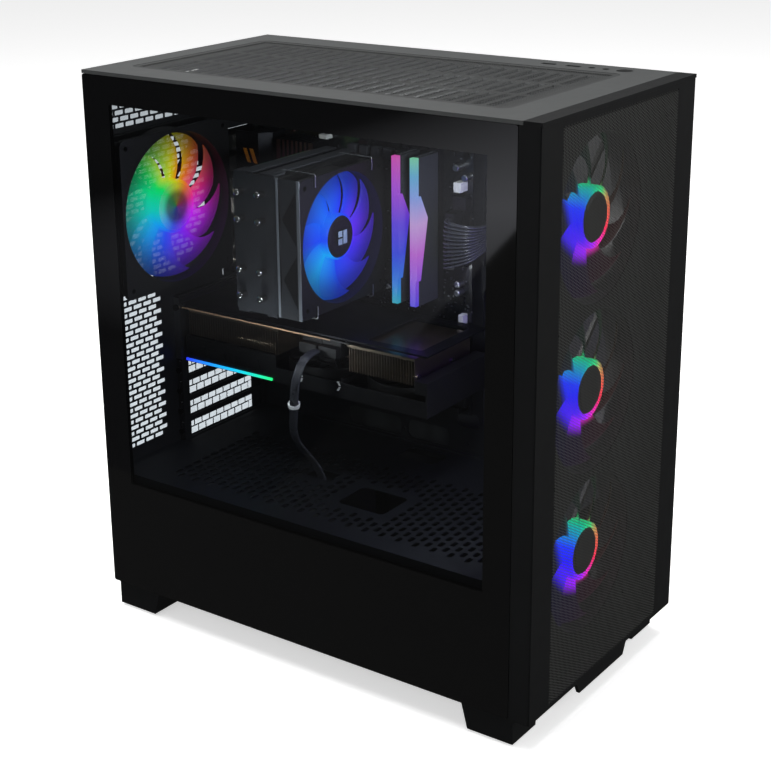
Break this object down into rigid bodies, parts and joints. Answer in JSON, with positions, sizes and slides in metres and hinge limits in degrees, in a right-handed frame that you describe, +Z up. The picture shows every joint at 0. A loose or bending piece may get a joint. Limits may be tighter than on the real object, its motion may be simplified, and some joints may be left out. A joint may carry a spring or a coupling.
{
  "type": "desktop computer tower",
  "caption": "Mid-size desktop computer tower with a mesh front, a filtered top, a glass left side and a lit air-cooled build inside.",
  "frame": {"origin": "centre of the footprint at the bottom of the feet", "axes": "+Z up, the mesh front faces -Y, the glass side faces -X, metres"},
  "size_m": [0.245, 0.44, 0.495],
  "materials": {
    "case_paint": "fine textured dark powder coat",
    "front_plastic": "fine grained black",
    "filter_mesh": "woven nylon mesh",
    "tinted_glass": "clear toughened glass with a black printed border",
    "rubber": "matte",
    "zinc": "zinc plated",
    "nickel": "nickel plated",
    "fin_aluminium": "raw stamped",
    "dark_aluminium": "anodised grey",
    "board_laminate": "black solder mask",
    "connector_plastic": "moulded nylon",
    "fan_frame_plastic": "moulded",
    "lit_blades": "frosted translucent, lit from the hub",
    "light_diffuser": "frosted diffuser",
    "cable_sleeve": "black wire insulation",
    "white_nylon": "cable tie"
  },
  "bodies": {
    "chassis": {"base_pan": "case_paint", "feet": "front_plastic", "rubber_pads": "rubber", "rear_panel": "case_paint", "slot_covers": "case_paint", "motherboard_tray": "case_paint", "top_panel": "case_paint", "front_io_board": "connector_plastic", "front_frame": "case_paint", "panel_studs": "zinc", "psu_shroud": "case_paint", "psu_case": "case_paint", "psu_sockets": "connector_plastic", "front_fan_frames": "fan_frame_plastic", "rear_fan_frame": "fan_frame_plastic", "cooler_fan_frame": "fan_frame_plastic", "motherboard": "board_laminate", "screws_and_standoffs": "zinc", "solid_state_drive": "board_laminate", "board_heatsinks": "dark_aluminium", "memory_slots": "connector_plastic", "memory_modules": "dark_aluminium", "memory_light_bars": "light_diffuser", "rear_sockets": "nickel", "power_plugs": "connector_plastic", "graphics_power_cable": "cable_sleeve", "cable_tie": "white_nylon", "board_power_cable": "cable_sleeve", "cooler_fins": "fin_aluminium", "cooler_top_plate": "dark_aluminium", "heat_pipes": "nickel", "cooler_base": "nickel", "processor": "nickel", "fan_clips": "zinc", "graphics_board": "board_laminate", "expansion_slots": "connector_plastic", "graphics_backplate": "dark_aluminium", "graphics_heatsink": "fin_aluminium", "graphics_shroud": "connector_plastic", "graphics_light_strip": "light_diffuser", "graphics_bracket": "zinc"},
    "glass_side": {"side_glass": "tinted_glass", "glass_clip_strips": "dark_aluminium"},
    "steel_side": {"side_panel_right": "case_paint", "thumbscrews": "zinc"},
    "front_panel": {"front_panel_frame": "front_plastic", "front_mesh": "front_plastic"},
    "top_filter": {"top_dust_filter": "filter_mesh"},
    "base_filter": {"base_dust_filter": "filter_mesh"},
    "power_button": {"power_button": "front_plastic"},
    "supply_switch": {"psu_switch": "front_plastic"},
    "front_fan_low": {"front_fan_rotor_1": "lit_blades"},
    "front_fan_middle": {"front_fan_rotor_2": "lit_blades"},
    "front_fan_high": {"front_fan_rotor_3": "lit_blades"},
    "rear_fan": {"rear_fan_rotor": "lit_blades"},
    "cooler_fan": {"cooler_fan_rotor": "lit_blades"},
    "graphics_fan_front": {"graphics_fan_rotor_1": "lit_blades"},
    "graphics_fan_middle": {"graphics_fan_rotor_2": "lit_blades"},
    "graphics_fan_rear": {"graphics_fan_rotor_3": "lit_blades"},
    "supply_fan": {"psu_fan_rotor": "lit_blades"}
  },
  "joints": [
    {"name": "glass_side_pull", "type": "slide", "parent": "chassis", "child": "glass_side", "axis": [-1, 0, 0], "range_m": [0, 0.05]},
    {"name": "steel_side_slide", "type": "slide", "parent": "chassis", "child": "steel_side", "axis": [0, 1, 0], "range_m": [0, 0.02]},
    {"name": "front_panel_pull", "type": "slide", "parent": "chassis", "child": "front_panel", "axis": [0, -1, 0], "range_m": [0, 0.03]},
    {"name": "top_filter_lift", "type": "slide", "parent": "chassis", "child": "top_filter", "axis": [0, 0, 1], "range_m": [0, 0.03]},
    {"name": "base_filter_slide", "type": "slide", "parent": "chassis", "child": "base_filter", "axis": [0, 1, 0], "range_m": [0, 0.15]},
    {"name": "power_button_press", "type": "slide", "parent": "chassis", "child": "power_button", "axis": [0, 0, -1], "range_m": [0, 0.0012], "stiffness_N_per_m": 900},
    {"name": "supply_switch_rock", "type": "hinge", "parent": "chassis", "child": "supply_switch", "pos_m": [0.022, 0.2135, 0.056], "axis": [1, 0, 0], "range_deg": [0, 14]},
    {"name": "front_fan_low_spin", "type": "hinge", "parent": "chassis", "child": "front_fan_low", "pos_m": [0, -0.19, 0.1196], "axis": [0, 1, 0], "continuous": true},
    {"name": "front_fan_middle_spin", "type": "hinge", "parent": "chassis", "child": "front_fan_middle", "pos_m": [0, -0.19, 0.26], "axis": [0, 1, 0], "continuous": true},
    {"name": "front_fan_high_spin", "type": "hinge", "parent": "chassis", "child": "front_fan_high", "pos_m": [0, -0.19, 0.4004], "axis": [0, 1, 0], "continuous": true},
    {"name": "rear_fan_spin", "type": "hinge", "parent": "chassis", "child": "rear_fan", "pos_m": [-0.044, 0.202, 0.3655], "axis": [0, 1, 0], "continuous": true},
    {"name": "cooler_fan_spin", "type": "hinge", "parent": "chassis", "child": "cooler_fan", "pos_m": [-0.003, 0.05, 0.3504], "axis": [0, 1, 0], "continuous": true},
    {"name": "graphics_fan_front_spin", "type": "hinge", "parent": "chassis", "child": "graphics_fan_front", "pos_m": [0.02, -0.0175, 0.225], "axis": [0, 0, 1], "continuous": true},
    {"name": "graphics_fan_middle_spin", "type": "hinge", "parent": "chassis", "child": "graphics_fan_middle", "pos_m": [0.02, 0.0695, 0.225], "axis": [0, 0, 1], "continuous": true},
    {"name": "graphics_fan_rear_spin", "type": "hinge", "parent": "chassis", "child": "graphics_fan_rear", "pos_m": [0.02, 0.1565, 0.225], "axis": [0, 0, 1], "continuous": true},
    {"name": "supply_fan_spin", "type": "hinge", "parent": "chassis", "child": "supply_fan", "pos_m": [0, 0.14, 0.043], "axis": [0, 0, 1], "continuous": true}
  ]
}
